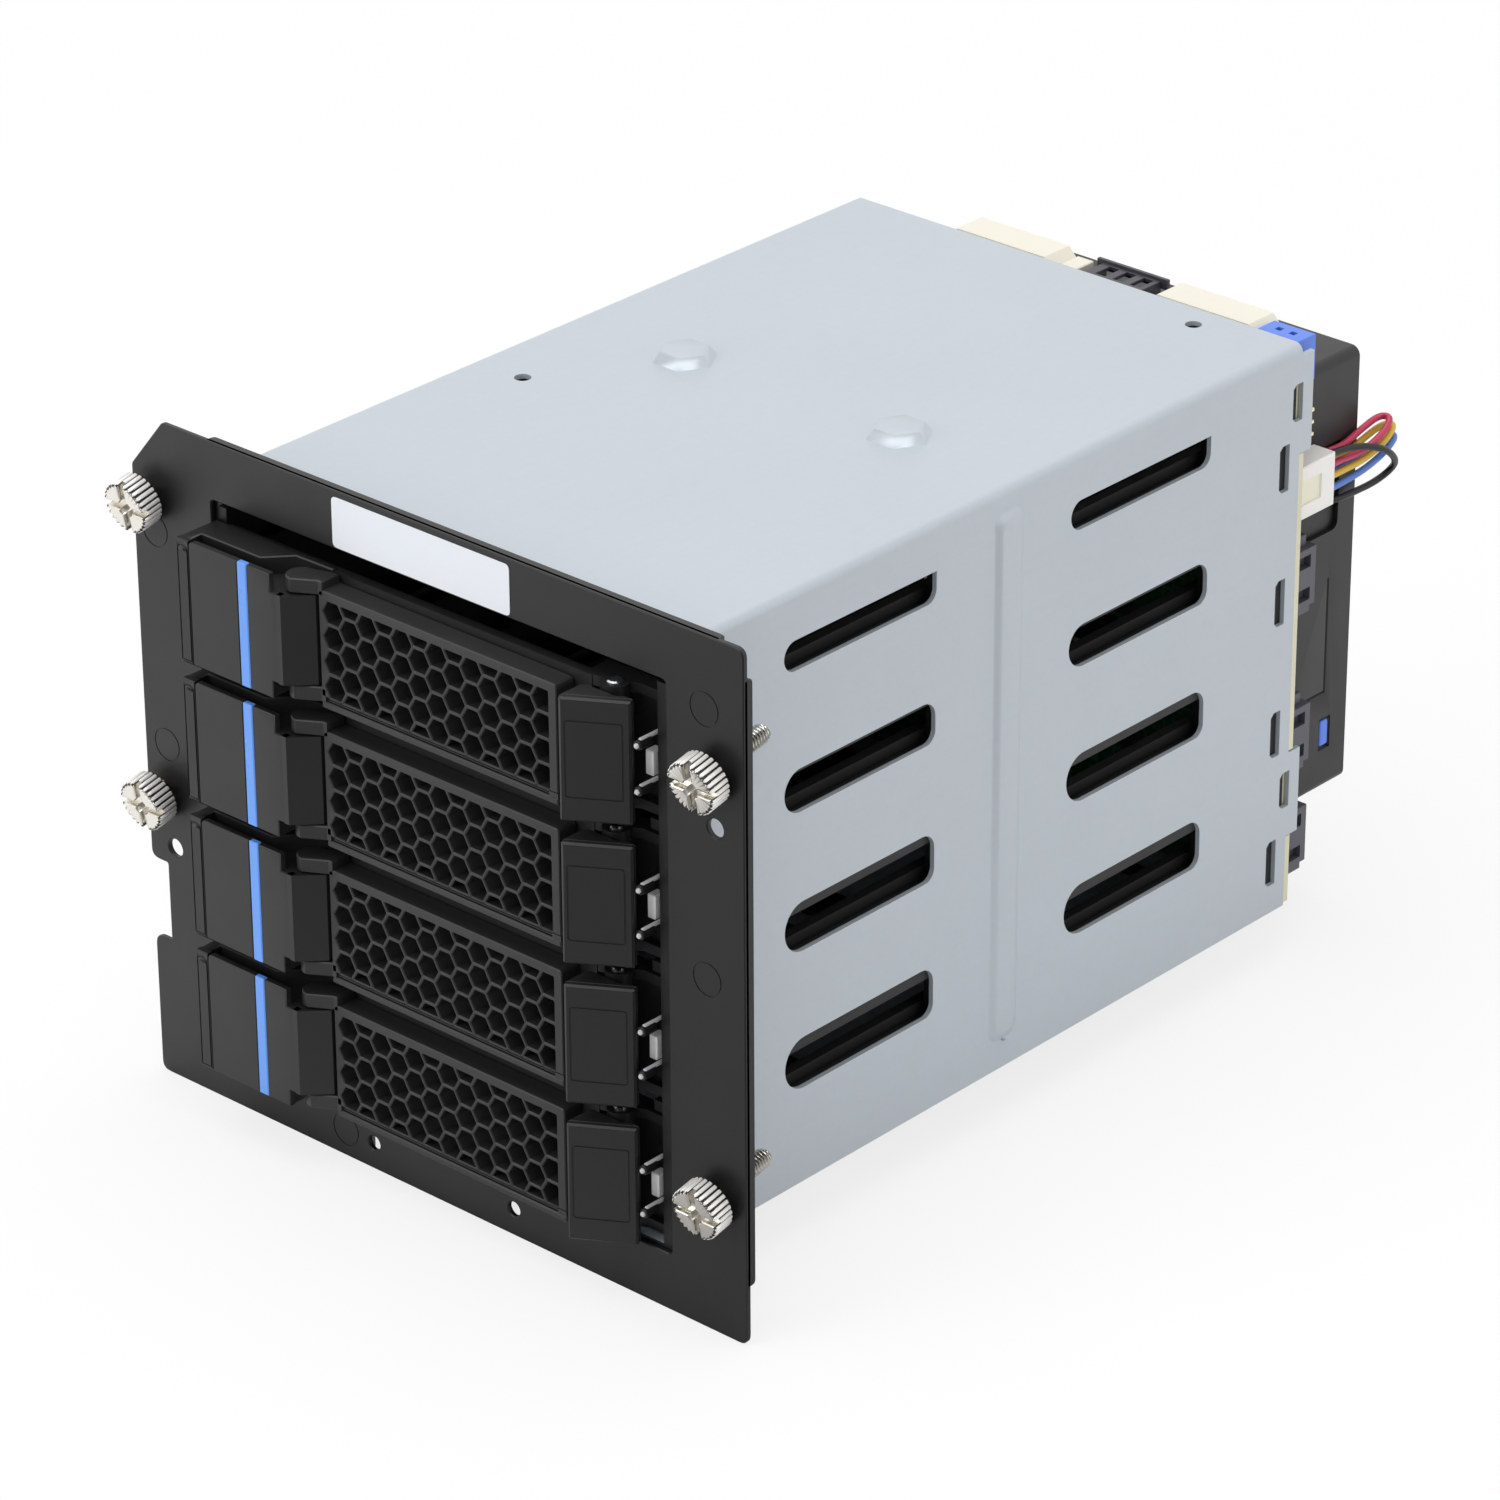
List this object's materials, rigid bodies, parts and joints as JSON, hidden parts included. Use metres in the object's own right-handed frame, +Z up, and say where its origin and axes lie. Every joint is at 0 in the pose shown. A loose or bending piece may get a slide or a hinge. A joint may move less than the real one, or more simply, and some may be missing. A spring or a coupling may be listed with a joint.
{
  "type": "hot swap drive cage",
  "caption": "Steel cage for hot swap drives, with pull-out trays, honeycomb levers, latch buttons, a front plate with thumbscrews, a connector board and a ducted rear fan.",
  "frame": {"origin": "midway between the two locating holes, on the front plate's back face", "axes": "+X to the right along the front plate, +Y towards the fan, +Z up"},
  "size_m": [0.1531, 0.2257, 0.1386],
  "materials": {
    "front_plate": "satin black",
    "zinc_sheet": "zinc plated",
    "guide_plastic": "black",
    "tray_plastic": "textured black",
    "stripe_blue": "blue",
    "lever_plastic": "black",
    "latch_plastic": "black",
    "pin_steel": "polished steel",
    "spring_steel": "spring steel",
    "pipe_clear": "clear plastic",
    "screw_nickel": "nickel plated",
    "board_green": "pale board",
    "connector_black": "black",
    "connector_cream": "cream",
    "connector_grey": "dark grey",
    "header_blue": "blue",
    "header_black": "black",
    "data_grey": "grey",
    "plug_white": "white",
    "wire_black": "black",
    "wire_red": "crimson",
    "wire_yellow": "yellow",
    "wire_blue": "blue",
    "duct_plastic": "black",
    "insert_blue": "blue",
    "fan_plastic": "black",
    "label_white": "white"
  },
  "bodies": {
    "cage": {"front_plate": "front_plate", "cage_shell": "zinc_sheet", "cage_floor": "zinc_sheet", "guide_left": "guide_plastic", "guide_right": "guide_plastic", "backplane": "board_green", "drive_connectors": "connector_black", "power_connectors": "connector_cream", "signal_connector": "connector_grey", "jumper_block": "connector_cream", "blue_header": "header_blue", "pin_header": "header_black", "data_connectors": "data_grey", "fan_plug": "plug_white", "fan_wire_black": "wire_black", "fan_wire_red": "wire_red", "fan_wire_yellow": "wire_yellow", "fan_wire_blue": "wire_blue", "fan_duct": "duct_plastic", "duct_insert": "insert_blue", "fan_frame": "fan_plastic", "label": "label_white"},
    "fan_rotor": {"fan_rotor": "fan_plastic"},
    "thumbscrew_1": {"thumbscrew_1": "screw_nickel"},
    "thumbscrew_2": {"thumbscrew_2": "screw_nickel"},
    "thumbscrew_3": {"thumbscrew_3": "screw_nickel"},
    "thumbscrew_4": {"thumbscrew_4": "screw_nickel"},
    "tray_1": {"tray_1": "tray_plastic", "stripe_1": "stripe_blue", "latch_pin_1": "pin_steel", "latch_spring_1": "spring_steel", "light_pipes_1": "pipe_clear", "catch_1": "spring_steel"},
    "lever_1": {"lever_1": "lever_plastic"},
    "latch_1": {"latch_1": "latch_plastic"},
    "tray_2": {"tray_2": "tray_plastic", "stripe_2": "stripe_blue", "latch_pin_2": "pin_steel", "latch_spring_2": "spring_steel", "light_pipes_2": "pipe_clear", "catch_2": "spring_steel"},
    "lever_2": {"lever_2": "lever_plastic"},
    "latch_2": {"latch_2": "latch_plastic"},
    "tray_3": {"tray_3": "tray_plastic", "stripe_3": "stripe_blue", "latch_pin_3": "pin_steel", "latch_spring_3": "spring_steel", "light_pipes_3": "pipe_clear", "catch_3": "spring_steel"},
    "lever_3": {"lever_3": "lever_plastic"},
    "latch_3": {"latch_3": "latch_plastic"},
    "tray_4": {"tray_4": "tray_plastic", "stripe_4": "stripe_blue", "latch_pin_4": "pin_steel", "latch_spring_4": "spring_steel", "light_pipes_4": "pipe_clear", "catch_4": "spring_steel"},
    "lever_4": {"lever_4": "lever_plastic"},
    "latch_4": {"latch_4": "latch_plastic"}
  },
  "joints": [
    {"name": "fan_spin", "type": "hinge", "parent": "cage", "child": "fan_rotor", "pos_m": [0.0028, 0.19, 0.0675], "axis": [0, 1, 0], "continuous": true},
    {"name": "thumbscrew_1_turn", "type": "hinge", "parent": "cage", "child": "thumbscrew_1", "pos_m": [-0.0718, -0.0006, 0.1179], "axis": [0, 0.9781, 0.2079], "continuous": true},
    {"name": "thumbscrew_2_turn", "type": "hinge", "parent": "cage", "child": "thumbscrew_2", "pos_m": [-0.0718, -0.0006, 0.0563], "axis": [0, 0.9781, 0.2079], "continuous": true},
    {"name": "thumbscrew_3_turn", "type": "hinge", "parent": "cage", "child": "thumbscrew_3", "pos_m": [0.06885, -0.0006, 0.1078], "axis": [0, 0.9781, 0.2079], "continuous": true},
    {"name": "thumbscrew_4_turn", "type": "hinge", "parent": "cage", "child": "thumbscrew_4", "pos_m": [0.06885, -0.0006, 0.0229], "axis": [0, 0.9781, 0.2079], "continuous": true},
    {"name": "tray_1_slide", "type": "slide", "parent": "cage", "child": "tray_1", "axis": [0, -1, 0], "range_m": [0, 0.172]},
    {"name": "lever_1_swing", "type": "hinge", "parent": "tray_1", "child": "lever_1", "pos_m": [-0.027, -0.0058, 0.1048], "axis": [0, 0, -1], "range_deg": [0, 70]},
    {"name": "latch_1_press", "type": "hinge", "parent": "tray_1", "child": "latch_1", "pos_m": [0.045, -0.0002, 0.1048], "axis": [0, 0, 1], "range_deg": [0, 12], "stiffness_Nm_per_rad": 0.06},
    {"name": "tray_2_slide", "type": "slide", "parent": "cage", "child": "tray_2", "axis": [0, -1, 0], "range_m": [0, 0.172]},
    {"name": "lever_2_swing", "type": "hinge", "parent": "tray_2", "child": "lever_2", "pos_m": [-0.027, -0.0058, 0.0764], "axis": [0, 0, -1], "range_deg": [0, 70]},
    {"name": "latch_2_press", "type": "hinge", "parent": "tray_2", "child": "latch_2", "pos_m": [0.045, -0.0002, 0.0764], "axis": [0, 0, 1], "range_deg": [0, 12], "stiffness_Nm_per_rad": 0.06},
    {"name": "tray_3_slide", "type": "slide", "parent": "cage", "child": "tray_3", "axis": [0, -1, 0], "range_m": [0, 0.172]},
    {"name": "lever_3_swing", "type": "hinge", "parent": "tray_3", "child": "lever_3", "pos_m": [-0.027, -0.0058, 0.048], "axis": [0, 0, -1], "range_deg": [0, 70]},
    {"name": "latch_3_press", "type": "hinge", "parent": "tray_3", "child": "latch_3", "pos_m": [0.045, -0.0002, 0.048], "axis": [0, 0, 1], "range_deg": [0, 12], "stiffness_Nm_per_rad": 0.06},
    {"name": "tray_4_slide", "type": "slide", "parent": "cage", "child": "tray_4", "axis": [0, -1, 0], "range_m": [0, 0.172]},
    {"name": "lever_4_swing", "type": "hinge", "parent": "tray_4", "child": "lever_4", "pos_m": [-0.027, -0.0058, 0.0196], "axis": [0, 0, -1], "range_deg": [0, 70]},
    {"name": "latch_4_press", "type": "hinge", "parent": "tray_4", "child": "latch_4", "pos_m": [0.045, -0.0002, 0.0196], "axis": [0, 0, 1], "range_deg": [0, 12], "stiffness_Nm_per_rad": 0.06}
  ]
}
